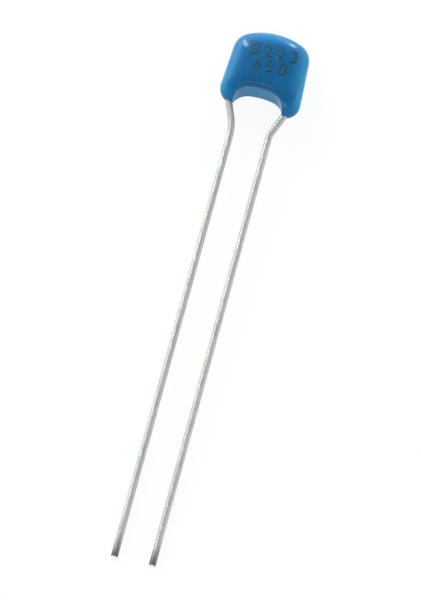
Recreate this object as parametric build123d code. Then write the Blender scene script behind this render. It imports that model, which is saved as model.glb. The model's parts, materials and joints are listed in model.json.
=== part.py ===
"""Multilayer ceramic capacitor: a layered chip on two formed wires, dipped in epoxy.

It lies at rest on its back: the back of the dipped body and the two cut wire tips touch Z = 0,
the front face looks up, the wires run towards -Y and the origin is under the middle of it all.
Each piece is first built flat, with the wires' plane at Z = 0 and the feet of the legs at Y = 0.
"""
from build123d import *
import math
import os

# Wires
LEAD_DIAMETER = 0.45
LEAD_PITCH = 2.5
LEAD_LENGTH = 32.0
LEAD_OVERLAP = 1.8
KNEE_RISE = 0.35
KNEE_RUN = 1.85
KNEE_RADIUS = 0.8
SHOULDER_RADIUS = 4.0

# Ceramic block, with its layers through the thickness
CERAMIC_LENGTH = 3.2
CERAMIC_HEIGHT = 2.5
CERAMIC_THICKNESS = 1.1
CERAMIC_EDGE_RADIUS = 0.08
PLATES_PER_SIDE = 8
PLATE_THICKNESS = 0.02
COVER_LAYER = 0.14
PLATE_END_MARGIN = 0.3
PLATE_SIDE_MARGIN = 0.25

# End caps and the solder between cap and wire
TERMINATION_THICKNESS = 0.06
TERMINATION_BAND = 0.5
SOLDER_FILM = 0.09
SOLDER_RISE = 0.17

# Dipped coating: its thickness over what it covers, then its own form
COAT_FACE = 0.61
COAT_SIDE = 0.58
COAT_TOP = 0.78
COAT_BOTTOM = 0.79
LEG_LENGTH = 1.24
LEG_INNER_COVER = 0.1
LEG_CORNER_RADIUS = 1.0
SIDE_FLARE = 0.27
TOP_CROWN_RADIUS = 4.5
TOP_CORNER_RADIUS = 1.25
SADDLE_RADIUS = 4.5
SADDLE_CORNER_RADIUS = 0.85
RIM_RADIUS = 0.2
CUT_OVERRUN = 0.5

# The skin rounds from its outline to a face along a superellipse, taken in even turns in degrees
FACE_POWER = 2.8
EDGE_POWER = 2.2
SKIN_TURN = 87
SKIN_SECTIONS = 10
OUTLINE_POINTS = 40

SIDES = {"left": -1, "right": 1}

# Places that several pieces share
lead_radius = LEAD_DIAMETER / 2
cap_face_x = CERAMIC_LENGTH / 2 + TERMINATION_THICKNESS
lead_x = cap_face_x + SOLDER_FILM + lead_radius
cap_foot_y = LEG_LENGTH + COAT_BOTTOM
ceramic_foot_y = cap_foot_y + TERMINATION_THICKNESS
ceramic_y = ceramic_foot_y + CERAMIC_HEIGHT / 2
lead_top_y = ceramic_foot_y + LEAD_OVERLAP
body_height = ceramic_foot_y + CERAMIC_HEIGHT + TERMINATION_THICKNESS + COAT_TOP
body_y = body_height / 2
half_width = lead_x + lead_radius + COAT_SIDE
half_thickness = CERAMIC_THICKNESS / 2 + TERMINATION_THICKNESS + COAT_FACE


def lead(side):
    """A round wire: soldered run, knee in the leg, slanted run, shoulder, straight run to the tip."""
    path = FilletPolyline(
        (side * lead_x, lead_top_y),
        (side * lead_x, KNEE_RISE),
        (side * LEAD_PITCH / 2, KNEE_RISE - KNEE_RUN),
        (side * LEAD_PITCH / 2, -LEAD_LENGTH),
        radius=[KNEE_RADIUS, SHOULDER_RADIUS],
    )
    section = Plane(origin=path @ 0, z_dir=path % 0) * Circle(lead_radius)
    return sweep(section, path=path)


def rounded_block(grow):
    """The ceramic block's form with rounded long edges, grown by an even thickness."""
    block = Box(CERAMIC_LENGTH + 2 * grow, CERAMIC_HEIGHT + 2 * grow, CERAMIC_THICKNESS + 2 * grow)
    return Pos(0, ceramic_y, 0) * fillet(block.edges().filter_by(Axis.X), CERAMIC_EDGE_RADIUS + grow)


def end_block(side):
    """The chip's end where a cap wraps it, cap and ceramic together."""
    reach = TERMINATION_THICKNESS + TERMINATION_BAND
    window = Box(reach, CERAMIC_HEIGHT + 2 * reach, CERAMIC_THICKNESS + 2 * reach)
    return rounded_block(TERMINATION_THICKNESS) & Pos(side * (cap_face_x - reach / 2), ceramic_y, 0) * window


def plates(side):
    """One comb of electrode plates, each open to its own end face and short of the other."""
    length = CERAMIC_LENGTH - PLATE_END_MARGIN
    height = CERAMIC_HEIGHT - 2 * PLATE_SIDE_MARGIN
    layer = (CERAMIC_THICKNESS - 2 * COVER_LAYER) / (2 * PLATES_PER_SIDE)
    levels = [(2 * n + 1 + side / 2 - PLATES_PER_SIDE) * layer for n in range(PLATES_PER_SIDE)]
    plate = Box(length, height, PLATE_THICKNESS)
    return [Pos(side * PLATE_END_MARGIN / 2, ceramic_y, level) * plate for level in levels]


def solder_block(side):
    """The solder's outer form: concave flanks from the end cap up to the crest of the wire."""
    foot = lead_radius + SOLDER_RISE
    flank = TangentArc((lead_x, lead_radius), (cap_face_x, foot), tangent=(-1, 0))
    outline = [
        flank,
        Line((cap_face_x, foot), (cap_face_x, -foot)),
        mirror(flank, about=Plane.XZ),
        Line((lead_x, -lead_radius), (lead_x, lead_radius)),
    ]
    start = Plane(origin=(0, ceramic_foot_y, 0), x_dir=(side, 0, 0), z_dir=(0, 1, 0))
    return extrude(start * make_face(outline), amount=LEAD_OVERLAP)


def coat_outline():
    """Front outline of the dipped body, centred: crowned top, flared sides and round corners."""
    top_half = half_width - SIDE_FLARE
    shoulder_y = body_y - TOP_CROWN_RADIUS + math.sqrt(TOP_CROWN_RADIUS**2 - top_half**2)
    foot_left, foot_right = (-half_width, -body_y), (half_width, -body_y)
    top_left, top_right = (-top_half, shoulder_y), (top_half, shoulder_y)
    face = make_face(
        [
            Line(foot_left, foot_right),
            Line(foot_right, top_right),
            ThreePointArc(top_right, (0, body_y), top_left),
            Line(top_left, foot_left),
        ]
    )
    face = fillet(face.vertices().sort_by(Axis.Y)[-2:], TOP_CORNER_RADIUS)
    return fillet(face.vertices().sort_by(Axis.Y)[:2], LEG_CORNER_RADIUS).wire()


def pillow():
    """The dipped skin before the arch is cut: smooth outlines that shrink towards both faces."""
    outline = coat_outline()
    start = outline.param_at_point((0, body_y))
    points = [outline.position_at((start + n / OUTLINE_POINTS) % 1) for n in range(OUTLINE_POINTS)]
    sections = []
    for n in range(-SKIN_SECTIONS, SKIN_SECTIONS + 1):
        turn = math.radians(SKIN_TURN * abs(n) / SKIN_SECTIONS)
        share = math.cos(turn) ** (2 / FACE_POWER)
        level = math.copysign(half_thickness * math.sin(turn) ** (2 / EDGE_POWER), n)
        curve = Spline([(p.X * share, p.Y * share, level) for p in points], periodic=True)
        sections.append(Face(Wire([curve])))
    return Pos(0, body_y, 0) * loft(sections)


def arch():
    """The space between the legs, a flat arch that runs through the whole thickness."""
    half = lead_x - lead_radius - LEG_INNER_COVER
    spring_y = LEG_LENGTH - SADDLE_RADIUS + math.sqrt(SADDLE_RADIUS**2 - half**2)
    face = make_face(
        [
            Line((-half, -CUT_OVERRUN), (half, -CUT_OVERRUN)),
            Line((half, -CUT_OVERRUN), (half, spring_y)),
            ThreePointArc((half, spring_y), (0, LEG_LENGTH), (-half, spring_y)),
            Line((-half, spring_y), (-half, -CUT_OVERRUN)),
        ]
    )
    face = fillet(face.vertices().sort_by(Axis.Y)[-2:], SADDLE_CORNER_RADIUS)
    return extrude(face, amount=half_thickness + CUT_OVERRUN, both=True)


def coating(filling):
    """The dipped skin with its arch and rounded rim, hollow where the chip, solder and wires are."""
    skin = pillow() - arch()
    rim = skin.edges().filter_by(GeomType.BSPLINE).filter_by(lambda edge: (edge @ 0.5).Y < LEG_LENGTH)
    skin = fillet(rim, RIM_RADIUS)
    for piece in filling:
        skin -= piece
    return skin


def build():
    """All pieces, flat, by name."""
    ceramic = rounded_block(0)
    pieces = {}
    filling = [ceramic]
    block = ceramic
    for name, side in SIDES.items():
        wire = lead(side)
        comb = plates(side)
        for plate in comb:
            block -= plate
        pieces[f"{name}_lead"] = wire
        pieces[f"{name}_electrodes"] = Compound(children=comb)
        pieces[f"{name}_termination"] = end_block(side) - ceramic
        pieces[f"{name}_solder"] = solder_block(side) - wire
        filling += [end_block(side), solder_block(side), wire]
    pieces["dielectric_block"] = block
    pieces["epoxy_coating"] = coating(filling)
    return pieces


def rest(pieces):
    """Lean the flat assembly on its back and tips, and set the origin under its middle."""
    lean = math.degrees(math.atan2(half_thickness - lead_radius, body_y + LEAD_LENGTH))
    leaned = {name: Rot(lean, 0, 0) * piece for name, piece in pieces.items()}
    boxes = [piece.bounding_box() for piece in leaned.values()]
    low_y, high_y = min(b.min.Y for b in boxes), max(b.max.Y for b in boxes)
    low_z = min(b.min.Z for b in boxes)
    return {name: Pos(0, -(low_y + high_y) / 2, -low_z) * piece for name, piece in leaned.items()}


os.makedirs("parts", exist_ok=True)
for node, solid in rest(build()).items():
    export_step(solid, f"parts/{node}.step")
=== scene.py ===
"""A blue dipped ceramic capacitor on a white table: its fine shapes, finishes, light and camera.

Each new piece is modelled flat, in millimetres, with the wires' plane at Z = 0 and the feet of the
coating at Y = 0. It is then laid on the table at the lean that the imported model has.
"""
import json
import logging
import math
from abc import ABC, abstractmethod
from collections.abc import Iterator, Sequence
from contextlib import contextmanager
from dataclasses import dataclass, field
from enum import Enum
from typing import Any

import bpy
from mathutils import Matrix, Vector


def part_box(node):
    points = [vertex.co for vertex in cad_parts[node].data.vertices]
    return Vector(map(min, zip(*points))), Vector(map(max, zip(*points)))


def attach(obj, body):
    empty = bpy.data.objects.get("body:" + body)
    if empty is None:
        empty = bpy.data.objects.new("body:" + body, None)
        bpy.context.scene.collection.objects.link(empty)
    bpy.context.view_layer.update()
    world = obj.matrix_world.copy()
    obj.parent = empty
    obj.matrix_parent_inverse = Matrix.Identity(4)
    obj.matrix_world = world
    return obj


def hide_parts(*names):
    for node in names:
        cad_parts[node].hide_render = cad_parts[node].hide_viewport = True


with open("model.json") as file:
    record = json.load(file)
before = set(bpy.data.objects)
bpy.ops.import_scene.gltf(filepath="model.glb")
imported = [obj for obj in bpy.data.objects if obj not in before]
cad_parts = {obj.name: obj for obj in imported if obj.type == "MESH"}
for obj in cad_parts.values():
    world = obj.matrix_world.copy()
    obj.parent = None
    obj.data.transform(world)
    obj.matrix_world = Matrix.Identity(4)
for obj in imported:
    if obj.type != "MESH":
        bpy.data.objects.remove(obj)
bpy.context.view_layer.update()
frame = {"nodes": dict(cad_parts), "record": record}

LOG = logging.getLogger("capacitor")
BODY = "root"

# One millimetre in metres, and the gap in millimetres below which vertices of a flat piece merge
MM = 0.001
MERGE_GAP = 0.001

# The wires' length below the coating's feet and the height of its middle above them, in millimetres
FREE_LENGTH = 32.0
COAT_MIDDLE = 2.75

Point = tuple[float, float]
Colour = tuple[float, float, float]


class Side(Enum):
    """The two ends of the chip, with the sign of their X."""

    LEFT = -1
    RIGHT = 1

    @property
    def word(self) -> str:
        """The side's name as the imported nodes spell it."""
        return self.name.lower()


def pick(piece: bpy.types.Object) -> None:
    """Make one object the only selected and the active one.

    Args:
        piece: The object to work on next.
    """
    bpy.ops.object.select_all(action="DESELECT")
    piece.select_set(True)
    bpy.context.view_layer.objects.active = piece


@contextmanager
def editing(piece: bpy.types.Object) -> Iterator[None]:
    """Hold one mesh in edit mode with all of it selected.

    Args:
        piece: The mesh object to edit.

    Returns:
        The context to edit in.
    """
    pick(piece)
    bpy.ops.object.mode_set(mode="EDIT")
    bpy.ops.mesh.select_all(action="SELECT")
    yield
    bpy.ops.object.mode_set(mode="OBJECT")


def add_ring(name: str, points: Sequence[Point]) -> bpy.types.Object:
    """Add a circle and move its vertices onto a flat closed outline.

    Args:
        name: The new object's name.
        points: The outline's corners in order, in millimetres.

    Returns:
        The ring, with no face.
    """
    bpy.ops.object.select_all(action="DESELECT")
    bpy.ops.mesh.primitive_circle_add(vertices=len(points))
    ring = bpy.context.object
    ring.name = name
    for vertex, (x, y) in zip(ring.data.vertices, points):
        vertex.co = (x, y, 0)
    return ring


def join(pieces: Sequence[bpy.types.Object]) -> bpy.types.Object:
    """Join meshes into the first one and apply their places.

    Args:
        pieces: The mesh objects, which become one.

    Returns:
        The joined object.
    """
    pick(pieces[0])
    for piece in pieces[1:]:
        piece.select_set(True)
    bpy.ops.object.join()
    bpy.ops.object.transform_apply(location=True, rotation=True, scale=True)
    return bpy.context.object


def apply_modifier(piece: bpy.types.Object, kind: str, **settings: Any) -> None:
    """Add a modifier, set it and apply it.

    Args:
        piece: The mesh object to change.
        kind: Blender's name of the modifier's type.
        **settings: The modifier's own values.
    """
    pick(piece)
    modifier = piece.modifiers.new(kind.lower(), kind)
    for key, value in settings.items():
        setattr(modifier, key, value)
    bpy.ops.object.modifier_apply(modifier=modifier.name)


def face_outwards(piece: bpy.types.Object) -> None:
    """Merge a closed mesh's doubles and turn all its faces outwards.

    Args:
        piece: The mesh object to correct.
    """
    with editing(piece):
        bpy.ops.mesh.remove_doubles(threshold=MERGE_GAP)
        bpy.ops.mesh.select_all(action="SELECT")
        bpy.ops.mesh.normals_make_consistent(inside=False)


def arc_points(centre: Point, radius: float, start: float, end: float, steps: int) -> list[Point]:
    """Points along a circular arc, both ends included.

    Args:
        centre: The arc's centre.
        radius: The arc's radius.
        start: Angle of the first point, in radians.
        end: Angle of the last point, in radians.
        steps: The number of equal steps between them.

    Returns:
        The points in order.
    """
    angles = [start + (end - start) * step / steps for step in range(steps + 1)]
    return [(centre[0] + radius * math.cos(a), centre[1] + radius * math.sin(a)) for a in angles]


def far_hit(ray: Vector, centre: Vector, radius: float) -> float:
    """Distance from the origin to the far side of a circle.

    Args:
        ray: Unit direction.
        centre: The circle's centre.
        radius: The circle's radius.

    Returns:
        The distance along the ray.
    """
    middle = ray.dot(centre)
    return middle + math.sqrt(radius**2 - centre.length_squared + middle**2)


def lead_pin(side: Side) -> dict[str, Any]:
    """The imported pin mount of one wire.

    Args:
        side: Which wire.

    Returns:
        The mount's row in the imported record.
    """
    name = f"{side.word}_lead_pin"
    return next(mount for mount in frame["record"]["mounts"] if mount["name"] == name)


@dataclass(frozen=True)
class LyingPose:
    """How the flat model lies on the table.

    Attributes:
        lean: Turn about X that sets back and wire tips on the table, in radians.
        feet: Where the flat model's origin lies, in metres.
        tip: Where a wire's cut end lies, in metres.
    """

    lean: float
    feet: Vector
    tip: Vector

    @classmethod
    def from_frame(cls) -> "LyingPose":
        """Read the pose from a wire's packed pin.

        Returns:
            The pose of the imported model.
        """
        pin = lead_pin(Side.LEFT)
        axis = Vector(pin["axis"])
        tip = Vector(pin["pos_m"]) + axis * (pin["dims"]["length_mm"] * MM / 2)
        foot = tip - axis * (FREE_LENGTH * MM)
        return cls(math.atan2(-axis.z, -axis.y), Vector((0, foot.y, foot.z)), tip)

    def lay(self, piece: bpy.types.Object) -> None:
        """Apply the pose to a flat piece's mesh, so that its object stays at the origin.

        Args:
            piece: A mesh modelled flat, in millimetres.
        """
        pick(piece)
        turn = Matrix.Rotation(self.lean, 4, "X")
        piece.matrix_world = Matrix.Translation(self.feet) @ turn @ Matrix.Scale(MM, 4)
        bpy.ops.object.transform_apply(location=True, rotation=True, scale=True)


class Graph:
    """A node tree with short calls for adding, setting and joining nodes."""

    def __init__(self, tree: bpy.types.NodeTree) -> None:
        """Start on a tree.

        Args:
            tree: The material's, world's or group's node tree.
        """
        self.tree = tree

    def add(self, kind: str, values: dict[Any, Any] | None = None, **settings: Any) -> bpy.types.Node:
        """Add a node.

        Args:
            kind: Blender's name of the node's type.
            values: Input sockets by name or number, each with a value or with the socket that feeds it.
            **settings: The node's own properties.

        Returns:
            The new node.
        """
        node = self.tree.nodes.new(kind)
        for key, value in settings.items():
            setattr(node, key, value)
        self.feed(node, values or {})
        return node

    def feed(self, node: bpy.types.Node, values: dict[Any, Any]) -> None:
        """Set or join a node's inputs.

        Args:
            node: The node to feed.
            values: Input sockets by name or number, each with a value or with the socket that feeds it.
        """
        for name, value in values.items():
            if isinstance(value, bpy.types.NodeSocket):
                self.tree.links.new(value, node.inputs[name])
            else:
                node.inputs[name].default_value = value

    def ramp(self, factor: bpy.types.NodeSocket, *stops: tuple[float, Colour]) -> bpy.types.NodeSocket:
        """Turn a value into a colour.

        Args:
            factor: The value, from 0 to 1.
            *stops: Places on the ramp and their colours.

        Returns:
            The colour socket.
        """
        node = self.add("ShaderNodeValToRGB", {"Fac": factor})
        elements = node.color_ramp.elements
        for _ in stops[2:]:
            elements.new(1.0)
        for element, (place, colour) in zip(elements, stops):
            element.position = place
            element.color = (*colour, 1.0)
        return node.outputs["Color"]

    def smooth_step(self, value: bpy.types.NodeSocket, start: float, end: float) -> bpy.types.NodeSocket:
        """Run a value smoothly from 0 to 1.

        Args:
            value: The value's socket.
            start: Where the result is 0.
            end: Where the result is 1.

        Returns:
            The result's socket.
        """
        span = {"Value": value, "From Min": start, "From Max": end}
        return self.add("ShaderNodeMapRange", span, interpolation_type="SMOOTHSTEP").outputs["Result"]

    def math(self, operation: str, *values: Any) -> bpy.types.NodeSocket:
        """Join values by arithmetic, clamped between 0 and 1.

        Args:
            operation: Blender's name of the operation.
            *values: Numbers or sockets, in the order of the node's inputs.

        Returns:
            The result's socket.
        """
        node = self.add("ShaderNodeMath", dict(enumerate(values)), operation=operation, use_clamp=True)
        return node.outputs["Value"]


class Mottle:
    """Node group of soft clouds that the finishes use for colour, gloss and height."""

    NAME = "soft_mottle"
    INPUTS = {"Clouds per metre": 1000.0, "Low": 0.0, "High": 1.0}
    DETAIL = 3.0
    SHARPNESS = 0.55
    DARKEST = 0.3
    LIGHTEST = 0.7

    @classmethod
    def tree(cls) -> bpy.types.NodeTree:
        """The group, built at its first use.

        Returns:
            The group's node tree.
        """
        known = bpy.data.node_groups.get(cls.NAME)
        if known:
            return known
        tree = bpy.data.node_groups.new(cls.NAME, "ShaderNodeTree")
        for name, value in cls.INPUTS.items():
            socket = tree.interface.new_socket(name, in_out="INPUT", socket_type="NodeSocketFloat")
            socket.default_value = value
        tree.interface.new_socket("Value", in_out="OUTPUT", socket_type="NodeSocketFloat")
        graph = Graph(tree)
        inputs = graph.add("NodeGroupInput").outputs
        place = graph.add("ShaderNodeTexCoord").outputs["Object"]
        noise = graph.add(
            "ShaderNodeTexNoise",
            {
                "Vector": place,
                "Scale": inputs["Clouds per metre"],
                "Detail": cls.DETAIL,
                "Roughness": cls.SHARPNESS,
            },
        )
        spread = graph.add(
            "ShaderNodeMapRange",
            {
                "Value": noise.outputs["Fac"],
                "From Min": cls.DARKEST,
                "From Max": cls.LIGHTEST,
                "To Min": inputs["Low"],
                "To Max": inputs["High"],
            },
        )
        graph.add("NodeGroupOutput", {"Value": spread.outputs["Result"]})
        return tree

    @classmethod
    def place(cls, graph: Graph, size_mm: float, low: float, high: float) -> bpy.types.NodeSocket:
        """Put the group into a finish.

        Args:
            graph: The finish's node tree.
            size_mm: The size of one cloud, in millimetres.
            low: The value of the darkest clouds.
            high: The value of the lightest clouds.

        Returns:
            The socket of the mottled value.
        """
        node = graph.add("ShaderNodeGroup", node_tree=cls.tree())
        graph.feed(node, {"Clouds per metre": 1 / (size_mm * MM), "Low": low, "High": high})
        return node.outputs["Value"]


class Finish(ABC):
    """A surface finish that makes its own procedural material.

    Attributes:
        name: The material's name.
        roughness: Roughness of its smoothest places.
        spread: How many times rougher its roughest places are.
    """

    name: str
    roughness: float
    spread: float

    def material(self) -> bpy.types.Material:
        """The finish's material, built at its first use.

        Returns:
            The material.
        """
        known = bpy.data.materials.get(self.name)
        if known:
            return known
        made = bpy.data.materials.new(self.name)
        made.use_nodes = True
        self.dress(Graph(made.node_tree), made.node_tree.nodes["Principled BSDF"])
        return made

    @abstractmethod
    def dress(self, graph: Graph, shader: bpy.types.Node) -> None:
        """Build the material's nodes.

        Args:
            graph: The material's node tree.
            shader: Its Principled shader.
        """

    def mottled_roughness(self, graph: Graph, size_mm: float) -> bpy.types.NodeSocket:
        """Vary the roughness in soft clouds.

        Args:
            graph: The material's node tree.
            size_mm: The size of one cloud, in millimetres.

        Returns:
            The roughness's socket.
        """
        return Mottle.place(graph, size_mm, self.roughness, self.roughness * self.spread)

    @staticmethod
    def relief(graph: Graph, shader: bpy.types.Node, height: bpy.types.NodeSocket, depth_mm: float) -> None:
        """Feed the shader's normal from a height.

        Args:
            graph: The material's node tree.
            shader: Its Principled shader.
            height: The height's socket, from 0 to 1.
            depth_mm: The depth of the relief, in millimetres.
        """
        node = graph.add("ShaderNodeBump", {"Height": height, "Distance": depth_mm * MM})
        graph.feed(shader, {"Normal": node.outputs["Normal"]})

    def put_on(self, piece: bpy.types.Object) -> None:
        """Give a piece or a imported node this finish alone.

        Args:
            piece: The mesh object to finish.
        """
        piece.data.materials.clear()
        piece.data.materials.append(self.material())


@dataclass(frozen=True)
class GlossEpoxy(Finish):
    """Pigmented dip coating: deep and glossy, a little wavy as it ran and set. Light and shade are painted
    into its colour: paler round the rim, on the flanks and on the arch's underside, most towards the top,
    and fading out towards the feet.

    Attributes:
        middle: The middle of the coating, in metres; the places below are counted from it.
        deep: The coating's own colour, in the middle of the face.
        rim: Painted light round the rim, brightest towards the top.
        flank: Painted light on the flanks and the arch's underside.
        rim_share: Where the rim's painted light stands between the other two.
        cloud_depth: How far the clouds shift the colour.
        chip_mm: Where the face's own colour ends and the rim's painted light begins.
        corner_mm: How softly that place turns the corner.
        rim_mm: Where the rim's colour is full.
        face_mm: Height at which the flank begins.
        flank_mm: Height at which its colour is full.
        feet_mm: Depth at which the painted light begins, which leaves painted shade on the feet.
        arch_mm: Depth at which the flank's colour is full.
        shoulder_mm: Height at which the rim's colour is full.
    """

    middle: Vector
    name: str = "gloss_blue_epoxy"
    deep: Colour = (0.0048, 0.099, 0.257)
    # Painted light: the rim and flank colours are paler, lit copies of the face's blue
    rim: Colour = (0.009, 0.222, 0.47)
    flank: Colour = (0.01, 0.226, 0.428)
    rim_share: float = 0.7
    roughness: float = 0.16
    spread: float = 1.3
    gloss: float = 0.2
    cloud_mm: float = 1.6
    cloud_depth: float = 0.08
    chip_mm: float = 1.3
    corner_mm: float = 0.3
    rim_mm: float = 2.7
    face_mm: float = 1.0
    flank_mm: float = 0.5
    feet_mm: float = 3.05
    arch_mm: float = 1.45
    shoulder_mm: float = 1.0
    wave_mm: float = 1.1
    wave_depth_mm: float = 0.004

    def dress(self, graph: Graph, shader: bpy.types.Node) -> None:
        """Build the coating's nodes.

        Args:
            graph: The material's node tree.
            shader: Its Principled shader.
        """
        place = graph.add("ShaderNodeTexCoord").outputs["Object"]
        offset = graph.add("ShaderNodeVectorMath", {0: place, 1: self.middle}, operation="SUBTRACT")
        parts = graph.add("ShaderNodeSeparateXYZ", {"Vector": offset.outputs["Vector"]}).outputs
        # Painted light round the rim, strongest towards the top, and on the flanks and under the arch; it
        # fades out towards the feet, where it leaves painted shade
        aside = graph.math("ABSOLUTE", parts["X"])
        reach = graph.math("SMOOTH_MAX", aside, parts["Y"], self.corner_mm * MM)
        edge = graph.smooth_step(reach, self.chip_mm * MM, self.rim_mm * MM)
        below = graph.smooth_step(parts["Z"], self.face_mm * MM, self.flank_mm * MM)
        above_feet = graph.smooth_step(parts["Y"], -self.feet_mm * MM, -self.arch_mm * MM)
        upper = graph.smooth_step(parts["Y"], -self.feet_mm * MM, self.shoulder_mm * MM)
        rim = graph.math("MULTIPLY", graph.math("MULTIPLY", edge, upper), self.rim_share)
        painted_light = graph.math("MAXIMUM", rim, graph.math("MULTIPLY", below, above_feet))
        clouds = Mottle.place(graph, self.cloud_mm, -self.cloud_depth, self.cloud_depth)
        tone = graph.math("ADD", painted_light, clouds)
        stops = (0.0, self.deep), (self.rim_share, self.rim), (1.0, self.flank)
        graph.feed(
            shader,
            {
                "Base Color": graph.ramp(tone, *stops),
                "Roughness": self.mottled_roughness(graph, self.wave_mm),
                "Specular IOR Level": self.gloss,
            },
        )
        self.relief(graph, shader, Mottle.place(graph, self.wave_mm, 0.0, 1.0), self.wave_depth_mm)


@dataclass(frozen=True)
class StampInk(Finish):
    """Dark teal stamp ink that lets the blue through where it is thin."""

    name: str = "teal_stamp_ink"
    thick: Colour = (0.004, 0.052, 0.06)
    thick_at: float = 0.1
    thin: Colour = (0.004, 0.082, 0.12)
    thin_at: float = 0.9
    roughness: float = 0.4
    spread: float = 1.4
    gloss: float = 0.2
    blot_mm: float = 0.16

    def dress(self, graph: Graph, shader: bpy.types.Node) -> None:
        """Build the ink's nodes.

        Args:
            graph: The material's node tree.
            shader: Its Principled shader.
        """
        blots = Mottle.place(graph, self.blot_mm, 0.0, 1.0)
        graph.feed(
            shader,
            {
                "Base Color": graph.ramp(blots, (self.thick_at, self.thick), (self.thin_at, self.thin)),
                "Specular IOR Level": self.gloss,
                "Roughness": self.mottled_roughness(graph, self.blot_mm),
            },
        )


@dataclass(frozen=True)
class TinnedWire(Finish):
    """Tin-plated wire with drawn streaks, soft dents and painted shade that darkens its end, where it meets
    the table.

    Attributes:
        tip_y: Where the cut end lies, in metres.
        nipped: Painted shade at the cut end, where the wire meets the table.
        dull_at: Where the dull colour stands between end and bright tin.
        bright_at: Where the bright colour begins.
        streak_stretch: How much longer than wide the streaks are.
        nipped_mm: How far the painted shade at the end reaches.
    """

    tip_y: float
    name: str = "tinned_wire"
    bright: Colour = (0.58, 0.6, 0.57)
    bright_at: float = 0.65
    dull: Colour = (0.46, 0.48, 0.45)
    dull_at: float = 0.35
    nipped: Colour = (0.13, 0.13, 0.11)
    roughness: float = 0.42
    spread: float = 1.6
    streak_mm: float = 0.05
    streak_detail: float = 2.0
    streak_stretch: float = 24.0
    dent_mm: float = 0.8
    dent_depth_mm: float = 0.02
    nipped_mm: float = 1.8

    def dress(self, graph: Graph, shader: bpy.types.Node) -> None:
        """Build the wire's nodes.

        Args:
            graph: The material's node tree.
            shader: Its Principled shader.
        """
        place = graph.add("ShaderNodeTexCoord").outputs["Object"]
        stretch = (1.0, 1 / self.streak_stretch, 1.0)
        drawn = graph.add("ShaderNodeMapping", {"Vector": place, "Scale": stretch}).outputs["Vector"]
        grain = {"Vector": drawn, "Scale": 1 / (self.streak_mm * MM), "Detail": self.streak_detail}
        streaks = graph.add("ShaderNodeTexNoise", grain)
        along = graph.add("ShaderNodeSeparateXYZ", {"Vector": place}).outputs["Y"]
        # Painted shade: the colour darkens over the last stretch towards the tip, where the wire meets the
        # table
        start, end = self.tip_y, self.tip_y + self.nipped_mm * MM
        tip_shade_fade = graph.add("ShaderNodeMapRange", {"Value": along, "From Min": start, "From Max": end})
        tone = graph.math("MULTIPLY", streaks.outputs["Fac"], tip_shade_fade.outputs["Result"])
        stops = (0.0, self.nipped), (self.dull_at, self.dull), (self.bright_at, self.bright)
        graph.feed(
            shader,
            {
                "Base Color": graph.ramp(tone, *stops),
                "Roughness": self.mottled_roughness(graph, self.dent_mm),
                "Metallic": 1.0,
            },
        )
        self.relief(graph, shader, Mottle.place(graph, self.dent_mm, 0.0, 1.0), self.dent_depth_mm)


@dataclass(frozen=True)
class PlainGrain(Finish):
    """A plain material in two tones of fine grain, ceramic or metal."""

    name: str
    dark: Colour
    light: Colour
    roughness: float
    metallic: float
    grain_mm: float
    grain_depth_mm: float
    spread: float = 1.3

    def dress(self, graph: Graph, shader: bpy.types.Node) -> None:
        """Build the grain's nodes.

        Args:
            graph: The material's node tree.
            shader: Its Principled shader.
        """
        grain = Mottle.place(graph, self.grain_mm, 0.0, 1.0)
        graph.feed(
            shader,
            {
                "Base Color": graph.ramp(grain, (0.0, self.dark), (1.0, self.light)),
                "Roughness": self.mottled_roughness(graph, self.grain_mm),
                "Metallic": self.metallic,
            },
        )
        self.relief(graph, shader, grain, self.grain_depth_mm)


@dataclass(frozen=True)
class CoatOutline:
    """Front outline of the coating about its own centre, in millimetres."""

    half_width: float = 2.78
    half_height: float = 2.715
    side_flare: float = 0.27
    crown_radius: float = 4.5
    top_corner: float = 1.25
    leg_corner: float = 1.0

    @property
    def crown_centre(self) -> Vector:
        """Centre of the arc along the top."""
        return Vector((0, self.half_height - self.crown_radius))

    @property
    def side_normal(self) -> Vector:
        """Outward normal of the straight right side.

        Returns:
            The unit normal.
        """
        top_half = self.half_width - self.side_flare
        shoulder = self.crown_centre.y + math.sqrt(self.crown_radius**2 - top_half**2)
        return Vector((shoulder + self.half_height, self.side_flare)).normalized()

    @property
    def side_distance(self) -> float:
        """Distance of the straight right side from the centre."""
        return self.side_normal.dot(Vector((self.half_width, -self.half_height)))

    def corner_centres(self) -> tuple[Vector, Vector]:
        """Centres of the rounding of the right leg and of the right top corner.

        Returns:
            The two centres.
        """
        normal = self.side_normal
        leg_y = self.leg_corner - self.half_height
        leg_x = (self.side_distance - self.leg_corner - normal.y * leg_y) / normal.x
        along = Vector((-normal.y, normal.x))
        foot = normal * (self.side_distance - self.top_corner)
        offset = foot - self.crown_centre
        reach = self.crown_radius - self.top_corner
        back = offset.dot(along)
        rise = math.sqrt(back**2 - offset.length_squared + reach**2) - back
        return Vector((leg_x, leg_y)), foot + along * rise

    def point(self, angle: float) -> Point:
        """The outline's point in one direction.

        Args:
            angle: Direction from the centre, in radians from +X.

        Returns:
            The point.
        """
        ray = Vector((abs(math.cos(angle)), math.sin(angle)))
        normal = self.side_normal
        leg, top = self.corner_centres()
        crown = self.crown_centre
        seams = (
            Vector((leg.x, -self.half_height)),
            leg + normal * self.leg_corner,
            top + normal * self.top_corner,
            crown + (top - crown).normalized() * self.crown_radius,
        )
        turn = math.atan2(ray.y, ray.x)
        past = sum(turn > math.atan2(seam.y, seam.x) for seam in seams)
        if past == 0:
            reach = -self.half_height / ray.y
        elif past == 1:
            reach = far_hit(ray, leg, self.leg_corner)
        elif past == 2:
            reach = self.side_distance / normal.dot(ray)
        elif past == 3:
            reach = far_hit(ray, top, self.top_corner)
        else:
            reach = far_hit(ray, crown, self.crown_radius)
        return reach * math.cos(angle), reach * math.sin(angle)


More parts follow.
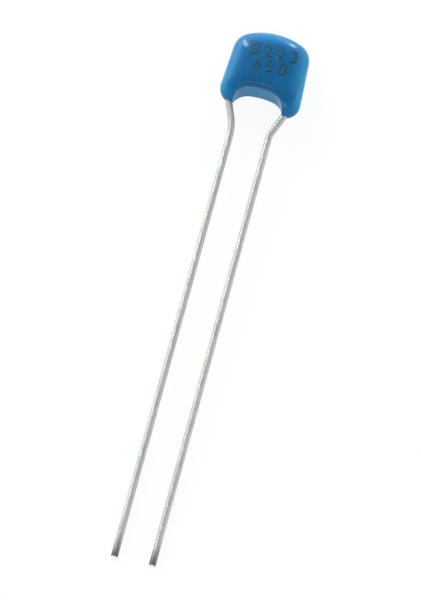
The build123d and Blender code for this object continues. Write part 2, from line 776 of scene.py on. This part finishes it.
@dataclass
class DippedCoating:
    """The epoxy skin: a pillow with two legs, an arch between them and a rounded rim.

    Sizes are in millimetres. The pillow shrinks from its outline to its faces along a superellipse.

    Attributes:
        face_power: The superellipse's power towards the faces.
        edge_power: Its power towards the edge.
        last_turn: Where the flat faces begin, as its parameter in radians.
        leg_length: How far the top of the arch stands above the feet.
        arch_half: Half of the space between the legs.
        saddle_radius: Radius of the arch's top.
        saddle_corner: Radius between that and the legs.
        run_slope: How much lower the dip hangs on the right, for each millimetre across.
        run_top: The height from which it does.
        rim_radius: Radius of the arch's front rim.
        rim_level: Height of that rim's top above the middle.
        brim: How far the cutter widens further above the rim.
        brim_rise: How much it rises there.
        overrun: How far the cutter stands out behind and below.
        grain: Size of the skin's mesh.
        rounding: Strength of each pass that rounds the skin's edges.
    """

    finish: GlossEpoxy
    outline: CoatOutline = field(default_factory=CoatOutline)
    half_thickness: float = 1.218
    face_power: float = 2.8
    edge_power: float = 2.2
    last_turn: float = math.radians(87)
    sections: int = 16
    outline_points: int = 144
    leg_length: float = 1.24
    arch_half: float = 1.65
    saddle_radius: float = 4.5
    saddle_corner: float = 1.1
    saddle_steps: int = 24
    corner_steps: int = 12
    run_slope: float = 0.045
    run_top: float = 2.6
    rim_radius: float = 0.4
    rim_level: float = 1.15
    rim_steps: int = 8
    brim: float = 0.7
    brim_rise: float = 0.1
    overrun: float = 0.5
    grain: float = 0.06
    rounding: float = 0.5
    rounding_passes: int = 22

    def model(self) -> bpy.types.Object:
        """Model the skin flat.

        Returns:
            The skin.
        """
        skin = self.pillow()
        cutter = self.arch()
        apply_modifier(skin, "BOOLEAN", operation="DIFFERENCE", solver="EXACT", object=cutter)
        pick(cutter)
        bpy.ops.object.delete()
        apply_modifier(skin, "REMESH", mode="VOXEL", voxel_size=self.grain)
        apply_modifier(skin, "SMOOTH", factor=self.rounding, iterations=self.rounding_passes)
        with editing(skin):
            bpy.ops.transform.translate(value=(0, self.outline.half_height, 0))
        self.run_down(skin)
        pick(skin)
        bpy.ops.object.shade_smooth()
        self.finish.put_on(skin)
        return skin

    def run_down(self, skin: bpy.types.Object) -> None:
        """Let the dip hang a little lower on the right leg than on the left one.

        Args:
            skin: The flat skin, with its feet at Y = 0.
        """
        for vertex in skin.data.vertices:
            share = (self.run_top - vertex.co.y) / (self.run_top - self.leg_length)
            vertex.co.y -= self.run_slope * vertex.co.x * min(max(share, 0.0), 1.0)

    def pillow(self) -> bpy.types.Object:
        """Extrude the outline section by section to the front face and mirror it to the back.

        Returns:
            The closed pillow, centred.
        """
        count = self.outline_points
        body = add_ring("coating_skin", [self.outline.point(math.tau * n / count) for n in range(count)])
        share, level = 1.0, 0.0
        with editing(body):
            for section in range(1, self.sections + 1):
                turn = self.last_turn * section / self.sections
                next_share = math.cos(turn) ** (2 / self.face_power)
                next_level = self.half_thickness * math.sin(turn) ** (2 / self.edge_power)
                rise = (0, 0, next_level - level)
                bpy.ops.mesh.extrude_region_move(TRANSFORM_OT_translate={"value": rise})
                shrink = next_share / share
                bpy.ops.transform.resize(value=(shrink, shrink, 1), center_override=(0, 0, 0))
                share, level = next_share, next_level
            bpy.ops.mesh.edge_face_add()
        apply_modifier(body, "MIRROR", use_axis=(False, False, True), merge_threshold=MERGE_GAP)
        face_outwards(body)
        return body

    def arch(self) -> bpy.types.Object:
        """Make the cutter for the space between the legs, flared to round the rim on the front face.

        Returns:
            The cutter, centred as the pillow is.
        """
        rings = []
        for level, grow in self.flare():
            ring = add_ring("arch_cutter", self.arch_points(grow))
            ring.location.z = level
            rings.append(ring)
        cutter = join(rings)
        with editing(cutter):
            bpy.ops.mesh.bridge_edge_loops()
            bpy.ops.mesh.fill_holes(sides=0)
        face_outwards(cutter)
        return cutter

    def flare(self) -> list[tuple[float, float]]:
        """How the arch widens from behind the skin to beyond its front face.

        Returns:
            Heights above the middle, each with the arch's growth there.
        """
        back = -self.half_thickness - self.overrun
        start = self.rim_level - self.rim_radius
        levels = [(back, 0.0)]
        for step in range(self.rim_steps + 1):
            angle = math.pi / 2 * step / self.rim_steps
            rise, grow = math.sin(angle), 1 - math.cos(angle)
            levels.append((start + self.rim_radius * rise, self.rim_radius * grow))
        return [*levels, (self.rim_level + self.brim_rise, self.rim_radius + self.brim)]

    def arch_points(self, grow: float) -> list[Point]:
        """Outline of the space between the legs.

        Args:
            grow: How far it stands outside the arch's own outline.

        Returns:
            The outline's points in order.
        """
        low = -self.outline.half_height - self.overrun
        side_x = self.arch_half + grow
        saddle_y = self.leg_length - self.outline.half_height - self.saddle_radius
        corner_x = self.arch_half - self.saddle_corner
        corner_y = saddle_y + math.sqrt((self.saddle_radius - self.saddle_corner) ** 2 - corner_x**2)
        lean = math.atan2(corner_y - saddle_y, corner_x)
        corner_reach, saddle_reach = self.saddle_corner + grow, self.saddle_radius + grow
        corner = arc_points((corner_x, corner_y), corner_reach, 0.0, lean, self.corner_steps)
        saddle = arc_points((0, saddle_y), saddle_reach, lean, math.pi - lean, self.saddle_steps)
        mirrored = [(-x, y) for x, y in reversed(corner)]
        return [(side_x, low), *corner, *saddle[1:-1], *mirrored, (-side_x, low)]


@dataclass
class FormedLead:
    """A round wire, straight from its cut tip, then bent outwards and up into the coating.

    Sizes are in millimetres. The wire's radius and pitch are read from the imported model.

    Attributes:
        cut: Finish of the cut face at the tip.
        shoulder_radius: Radius of the lower bend.
        knee_radius: Radius of the upper bend, inside the leg.
        knee_rise: Height of the upper bend's corner above the feet.
        slant_run: Height of that corner above the lower bend's.
        soldered_end: Height of the upper end above the feet.
        tip_bevel: Width of the bevel round the cut face.
        crease: Angle past which edges stay sharp, in radians.
    """

    side: Side
    finish: TinnedWire
    cut: PlainGrain
    shoulder_radius: float
    knee_radius: float = 0.8
    knee_rise: float = 0.35
    slant_run: float = 1.85
    soldered_end: float = 3.89
    facets: int = 32
    straight_steps: int = 24
    slant_steps: int = 2
    end_steps: int = 4
    bend_steps: int = 12
    tip_bevel: float = 0.03
    crease: float = math.radians(35)

    @property
    def chamfer(self) -> float:
        """How far the cut face stands out beyond its bevel."""
        return self.tip_bevel / 2

    def model(self) -> bpy.types.Object:
        """Model the wire flat, from its tip upwards.

        Returns:
            The wire.
        """
        pin = lead_pin(self.side)
        radius = pin["dims"]["r_mm"]
        tip_x = abs(pin["pos_m"][0]) / MM
        low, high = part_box(f"{self.side.word}_lead")
        sideways = max(-low.x, high.x) / MM - radius - tip_x
        slant = math.atan2(sideways, self.slant_run)
        bends = (self.shoulder_radius + self.knee_radius) * (1 - math.cos(slant))
        slanted = (sideways - bends) / math.sin(slant)
        corner = FREE_LENGTH + self.knee_rise - self.slant_run
        straight = corner - self.shoulder_radius * math.tan(slant / 2)
        place = Vector((self.side.value * tip_x, self.chamfer - FREE_LENGTH, 0))
        wire = self.cut_end(radius, place)
        with editing(wire):
            place = self.run(place, 0.0, straight - self.chamfer, self.straight_steps)
            place = self.bend(place, 0.0, slant, self.shoulder_radius)
            place = self.run(place, slant, slanted, self.slant_steps)
            place = self.bend(place, slant, -slant, self.knee_radius)
            self.run(place, 0.0, self.soldered_end - place.y, self.end_steps)
            bpy.ops.mesh.edge_face_add()
        self.finish.put_on(wire)
        wire.data.materials.append(self.cut.material())
        self.close_tip(wire)
        face_outwards(wire)
        pick(wire)
        bpy.ops.object.shade_smooth_by_angle(angle=self.crease)
        return wire

    def close_tip(self, wire: bpy.types.Object) -> None:
        """Close the cut end with a fresh, bright face inside a narrow bevel.

        Args:
            wire: The wire, still open at its tip.
        """
        wire.active_material_index = 1
        with editing(wire):
            bpy.ops.mesh.select_all(action="DESELECT")
            bpy.ops.mesh.select_non_manifold()
            bpy.ops.mesh.edge_face_add()
            bpy.ops.mesh.inset(thickness=self.tip_bevel, depth=self.chamfer)
            bpy.ops.object.material_slot_assign()

    def cut_end(self, radius: float, place: Vector) -> bpy.types.Object:
        """Make the ring at the wire's tip.

        Args:
            radius: The wire's radius.
            place: The ring's centre.

        Returns:
            The ring.
        """
        bpy.ops.object.select_all(action="DESELECT")
        bpy.ops.mesh.primitive_circle_add(
            vertices=self.facets, radius=radius, location=place, rotation=(math.pi / 2, 0, 0)
        )
        wire = bpy.context.object
        wire.name = f"{self.side.word}_wire"
        bpy.ops.object.transform_apply(location=True, rotation=True, scale=True)
        return wire

    def run(self, place: Vector, turn: float, length: float, steps: int) -> Vector:
        """Extrude the selected ring straight on.

        Args:
            place: The ring's centre.
            turn: The wire's outward turn here, in radians.
            length: How far to go.
            steps: In how many steps.

        Returns:
            The ring's new centre.
        """
        step = Vector((self.side.value * math.sin(turn), math.cos(turn), 0)) * (length / steps)
        for _ in range(steps):
            bpy.ops.mesh.extrude_region_move(TRANSFORM_OT_translate={"value": step})
        return place + step * steps

    def bend(self, place: Vector, turn: float, change: float, radius: float) -> Vector:
        """Spin the selected ring round a bend in the wires' plane.

        Args:
            place: The ring's centre.
            turn: The wire's outward turn before the bend, in radians.
            change: How much further outwards it turns, in radians.
            radius: The bend's radius.

        Returns:
            The ring's new centre.
        """
        sign = self.side.value
        inward = math.copysign(radius, change)
        centre = place + Vector((sign * math.cos(turn), -math.sin(turn), 0)) * inward
        angle = sign * change
        bpy.ops.mesh.spin(steps=self.bend_steps, angle=angle, center=centre, axis=(0, 0, 1))
        return centre + Matrix.Rotation(-angle, 3, "Z") @ (place - centre)


@dataclass(frozen=True)
class DigitRow:
    """One row of the marking: plain digits, their height and their middle, in millimetres."""

    digits: str
    height: float
    middle: Point


@dataclass
class FaceMarking:
    """Plain digits stamped on the front face, in millimetres.

    Attributes:
        boldness: How far the strokes are widened.
        spacing: Distance between digits, where 1 is plain text.
        digit_share: A digit's height as a share of its text's size.
        curve_steps: Steps along each curve of a digit.
        cuts: Cuts across each face, so that the film follows the skin.
        film: Thickness of the ink.
        proud: How far it stands out of the skin.
        above: Height from which the digits are pressed onto the skin.
    """

    rows: tuple[DigitRow, ...] = (DigitRow("8223", 0.86, (0.27, 3.72)), DigitRow("650", 0.86, (0.2, 2.7)))
    finish: StampInk = field(default_factory=StampInk)
    digit_share: float = 0.7
    boldness: float = 0.02
    spacing: float = 1.42
    curve_steps: int = 6
    cuts: int = 2
    film: float = 0.005
    proud: float = 0.002
    above: float = 4.0

    def model(self, skin: bpy.types.Object) -> bpy.types.Object:
        """Model all rows as one thin film on the skin.

        Args:
            skin: The flat coating to stamp.

        Returns:
            The film of ink.
        """
        ink = join([self.row(row) for row in self.rows])
        ink.name = "stamped_digits"
        with editing(ink):
            bpy.ops.mesh.quads_convert_to_tris()
            bpy.ops.mesh.subdivide(number_cuts=self.cuts)
        apply_modifier(
            ink,
            "SHRINKWRAP",
            target=skin,
            wrap_method="PROJECT",
            use_project_z=True,
            use_negative_direction=True,
            use_positive_direction=False,
            offset=self.proud - self.film / 2,
        )
        apply_modifier(ink, "SOLIDIFY", thickness=self.film, offset=0.0)
        with editing(ink):
            bpy.ops.mesh.normals_make_consistent(inside=False)
        self.finish.put_on(ink)
        return ink

    def row(self, row: DigitRow) -> bpy.types.Object:
        """Write one row above the face and make it a mesh.

        Args:
            row: What to write and where.

        Returns:
            The row's flat mesh.
        """
        bpy.ops.object.select_all(action="DESELECT")
        bpy.ops.object.text_add()
        text = bpy.context.object
        text.data.body = row.digits
        text.data.size = row.height / self.digit_share
        text.data.align_x = "CENTER"
        text.data.align_y = "CENTER"
        text.data.space_character = self.spacing
        text.data.offset = self.boldness
        text.data.resolution_u = self.curve_steps
        bpy.ops.object.convert(target="MESH")
        text = bpy.context.object
        text.location = (*row.middle, self.above)
        bpy.ops.object.transform_apply(location=True, rotation=True, scale=True)
        return text


def direction(azimuth: float, elevation: float) -> Vector:
    """The unit vector towards a place round the object.

    Args:
        azimuth: Degrees from -Y towards +X.
        elevation: Degrees above the horizon.

    Returns:
        The vector.
    """
    turn, rise = math.radians(azimuth), math.radians(elevation)
    return Vector((math.sin(turn) * math.cos(rise), -math.cos(turn) * math.cos(rise), math.sin(rise)))


@dataclass(frozen=True)
class Softbox:
    """A rectangular studio lamp that faces the object.

    Attributes:
        name: The lamp's name.
        azimuth: Its direction, in degrees from -Y towards +X.
        elevation: Its height above the horizon, in degrees.
        width: Its size along the horizon, in metres.
        height: Its size across that, in metres.
        radiance: Its brightness, where 1 is white.
        distance: How far off it is, in metres.
        mirrored: Whether glossy surfaces show its reflection.
    """

    name: str
    azimuth: float
    elevation: float
    width: float
    height: float
    radiance: float
    distance: float = 0.3
    mirrored: bool = True

    def hang(self, target: Vector) -> bpy.types.Object:
        """Add the lamp.

        Args:
            target: What it faces.

        Returns:
            The lamp.
        """
        way = direction(self.azimuth, self.elevation)
        bpy.ops.object.select_all(action="DESELECT")
        bpy.ops.object.light_add(type="AREA", location=target + way * self.distance)
        lamp = bpy.context.object
        lamp.name = self.name
        lamp.rotation_euler = way.to_track_quat("Z", "Y").to_euler()
        lamp.data.shape = "RECTANGLE"
        lamp.data.size = self.width
        lamp.data.size_y = self.height
        lamp.data.energy = self.radiance * math.pi * self.width * self.height
        lamp.visible_glossy = self.mirrored
        return lamp


@dataclass
class Studio:
    """White table, even room light and a few softboxes.

    Attributes:
        target: What the lamps face.
        table_drop: How far the table lies below the object, in metres.
        table_glow: How white the table shows to the camera.
        mirrored_glow: The same in reflections, as a share of that.
        level: Strength of the room's light.
        front: Its share on the camera's side.
        front_span: Where that share begins and ends, from -1 in front to 1 behind.
        sky: Heights from 0 at the horizon to 1 overhead, each with its grey.
    """

    target: Vector
    table_radius: float = 4.0
    table_facets: int = 96
    table_drop: float = 0.00001
    table_white: float = 0.92
    table_roughness: float = 0.9
    table_gloss: float = 0.1
    table_glow: float = 0.9
    mirrored_glow: float = 0.5
    level: float = 1.7
    front: float = 0.5
    front_span: Point = (-0.9, 0.2)
    sky: tuple[Point, ...] = ((0.0, 1.0), (0.3, 0.75), (0.6, 0.45), (0.87, 0.25))
    lamps: tuple[Softbox, ...] = (
        Softbox("left_spot", -136, 28, 0.035, 0.13, 26.0),
        Softbox("back_spot", 172, 14, 0.035, 0.04, 30.0),
        Softbox("left_key", -135, 16, 0.3, 0.16, 1.8),
        Softbox("back_key", 165, 16, 0.42, 0.16, 1.9, mirrored=False),
        Softbox("front_strip", 5, 54, 0.24, 0.03, 9.0),
    )

    def build(self) -> None:
        """Add table, room light and lamps."""
        self.table()
        self.room()
        for lamp in self.lamps:
            lamp.hang(self.target)

    def table(self) -> None:
        """Lay the white table under the object; it shows white but keeps a soft shadow."""
        bpy.ops.object.select_all(action="DESELECT")
        bpy.ops.mesh.primitive_circle_add(
            vertices=self.table_facets,
            radius=self.table_radius,
            fill_type="NGON",
            location=(0, 0, -self.table_drop),
        )
        top = bpy.context.object
        top.name = "white_table"
        material = bpy.data.materials.new("white_table")
        material.use_nodes = True
        graph = Graph(material.node_tree)
        nodes = material.node_tree.nodes
        shader = nodes["Principled BSDF"]
        graph.feed(
            shader,
            {
                "Base Color": (*(self.table_white,) * 3, 1.0),
                "Roughness": self.table_roughness,
                "Specular IOR Level": self.table_gloss,
            },
        )
        rays = graph.add("ShaderNodeLightPath").outputs
        mirrored = graph.math("MULTIPLY", rays["Is Glossy Ray"], self.mirrored_glow)
        seen = graph.math("ADD", rays["Is Camera Ray"], mirrored)
        seen = graph.math("ADD", seen, rays["Is Transmission Ray"])
        share = graph.math("MULTIPLY", seen, self.table_glow)
        glow = graph.add("ShaderNodeEmission", {"Strength": 1.0}).outputs["Emission"]
        mix = graph.add("ShaderNodeMixShader", {0: share, 1: shader.outputs["BSDF"], 2: glow})
        graph.feed(nodes["Material Output"], {"Surface": mix.outputs["Shader"]})
        top.data.materials.append(material)

    def room(self) -> None:
        """Light the room: bright round the horizon, dimmer overhead and on the camera's side."""
        world = bpy.data.worlds.new("room")
        world.use_nodes = True
        bpy.context.scene.world = world
        graph = Graph(world.node_tree)
        way = graph.add("ShaderNodeTexCoord").outputs["Generated"]
        parts = graph.add("ShaderNodeSeparateXYZ", {"Vector": way}).outputs
        light = graph.ramp(parts["Z"], *((place, (grey,) * 3) for place, grey in self.sky))
        near, far = self.front_span
        strength = graph.add(
            "ShaderNodeMapRange",
            {
                "Value": parts["Y"],
                "From Min": near,
                "From Max": far,
                "To Min": self.front * self.level,
                "To Max": self.level,
            },
        ).outputs["Result"]
        graph.feed(world.node_tree.nodes["Background"], {"Color": light, "Strength": strength})


@dataclass(frozen=True)
class PhotoCamera:
    """The camera as it stood for the photo.

    Attributes:
        aim: The point in the middle of the picture, in metres.
        azimuth: Degrees from -Y towards +X.
        elevation: Degrees above the horizon.
        distance: Metres from the aim.
        lens: Focal length, in millimetres.
        sensor: Width of the sensor, in millimetres.
        clip_start: Nearest distance that shows, in metres.
    """

    aim: Vector = field(default_factory=lambda: Vector((0.000471, -0.000637, 0.001739)))
    azimuth: float = 14.371
    elevation: float = 68.0
    distance: float = 0.5
    lens: float = 464.92
    sensor: float = 36.0
    clip_start: float = 0.01

    def place(self) -> None:
        """Add the camera and make it the scene's own."""
        way = direction(self.azimuth, self.elevation)
        bpy.ops.object.select_all(action="DESELECT")
        bpy.ops.object.camera_add(location=self.aim + way * self.distance)
        camera = bpy.context.object
        camera.name = "photo_camera"
        camera.rotation_euler = way.to_track_quat("Z", "Y").to_euler()
        camera.data.lens = self.lens
        camera.data.sensor_width = self.sensor
        camera.data.clip_start = self.clip_start
        bpy.context.scene.camera = camera


CERAMIC = PlainGrain("fired_ceramic", (0.42, 0.36, 0.27), (0.55, 0.49, 0.39), 0.55, 0.0, 0.05, 0.001)
NICKEL = PlainGrain("nickel_plate", (0.5, 0.48, 0.44), (0.62, 0.6, 0.55), 0.35, 1.0, 0.08, 0.0005)
SILVER = PlainGrain("silver_cap", (0.66, 0.65, 0.62), (0.8, 0.79, 0.76), 0.4, 1.0, 0.06, 0.001)
SOLDER = PlainGrain("tin_solder", (0.55, 0.56, 0.57), (0.72, 0.73, 0.74), 0.28, 1.0, 0.15, 0.002)
FRESH_CUT = PlainGrain("fresh_cut", (0.84, 0.83, 0.79), (0.95, 0.94, 0.9), 0.35, 1.0, 0.06, 0.001)

# Finishes of the hidden nodes, by the end of their names
INNER_FINISHES = {
    "dielectric_block": CERAMIC,
    "electrodes": NICKEL,
    "termination": SILVER,
    "solder": SOLDER,
}

# The wires' lower bends are formed unevenly: radius in millimetres
SHOULDER_RADII = {Side.LEFT: 4.0, Side.RIGHT: 1.2}


def finish_nodes(epoxy: GlossEpoxy, tin: TinnedWire) -> None:
    """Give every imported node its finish, the hidden ones too.

    Args:
        epoxy: The coating's finish.
        tin: The wires' finish.
    """
    finishes = {**INNER_FINISHES, "epoxy_coating": epoxy, "lead": tin}
    for name, node in frame["nodes"].items():
        key = next(key for key in finishes if name.endswith(key))
        finishes[key].put_on(node)
        LOG.info("packed node %s: %s", name, finishes[key].name)


def add_piece(piece: bpy.types.Object, pose: LyingPose, slot: str, *nodes: str) -> None:
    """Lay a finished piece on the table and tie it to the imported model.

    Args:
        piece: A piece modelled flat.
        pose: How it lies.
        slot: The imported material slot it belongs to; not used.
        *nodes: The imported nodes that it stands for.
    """
    pose.lay(piece)
    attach(piece, BODY)
    if nodes:
        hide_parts(*nodes)
    LOG.info("%s: %d faces", piece.name, len(piece.data.polygons))


def main() -> None:
    """Build the pieces in order and report each one."""
    logging.basicConfig(level=logging.INFO, format="%(message)s")
    pose = LyingPose.from_frame()
    tin = TinnedWire(tip_y=pose.tip.y)
    epoxy = GlossEpoxy(middle=pose.feet + Vector((0, COAT_MIDDLE * MM, 0)))
    finish_nodes(epoxy, tin)
    skin = DippedCoating(epoxy).model()
    ink = FaceMarking().model(skin)
    add_piece(skin, pose, "coating", "epoxy_coating")
    add_piece(ink, pose, "coating")
    for side, radius in SHOULDER_RADII.items():
        wire = FormedLead(side, tin, FRESH_CUT, radius).model()
        add_piece(wire, pose, "lead_wire", f"{side.word}_lead")
    Studio(pose.feet).build()
    PhotoCamera().place()
    bpy.context.scene.view_settings.view_transform = "Standard"


if __name__ == "__main__":
    main()
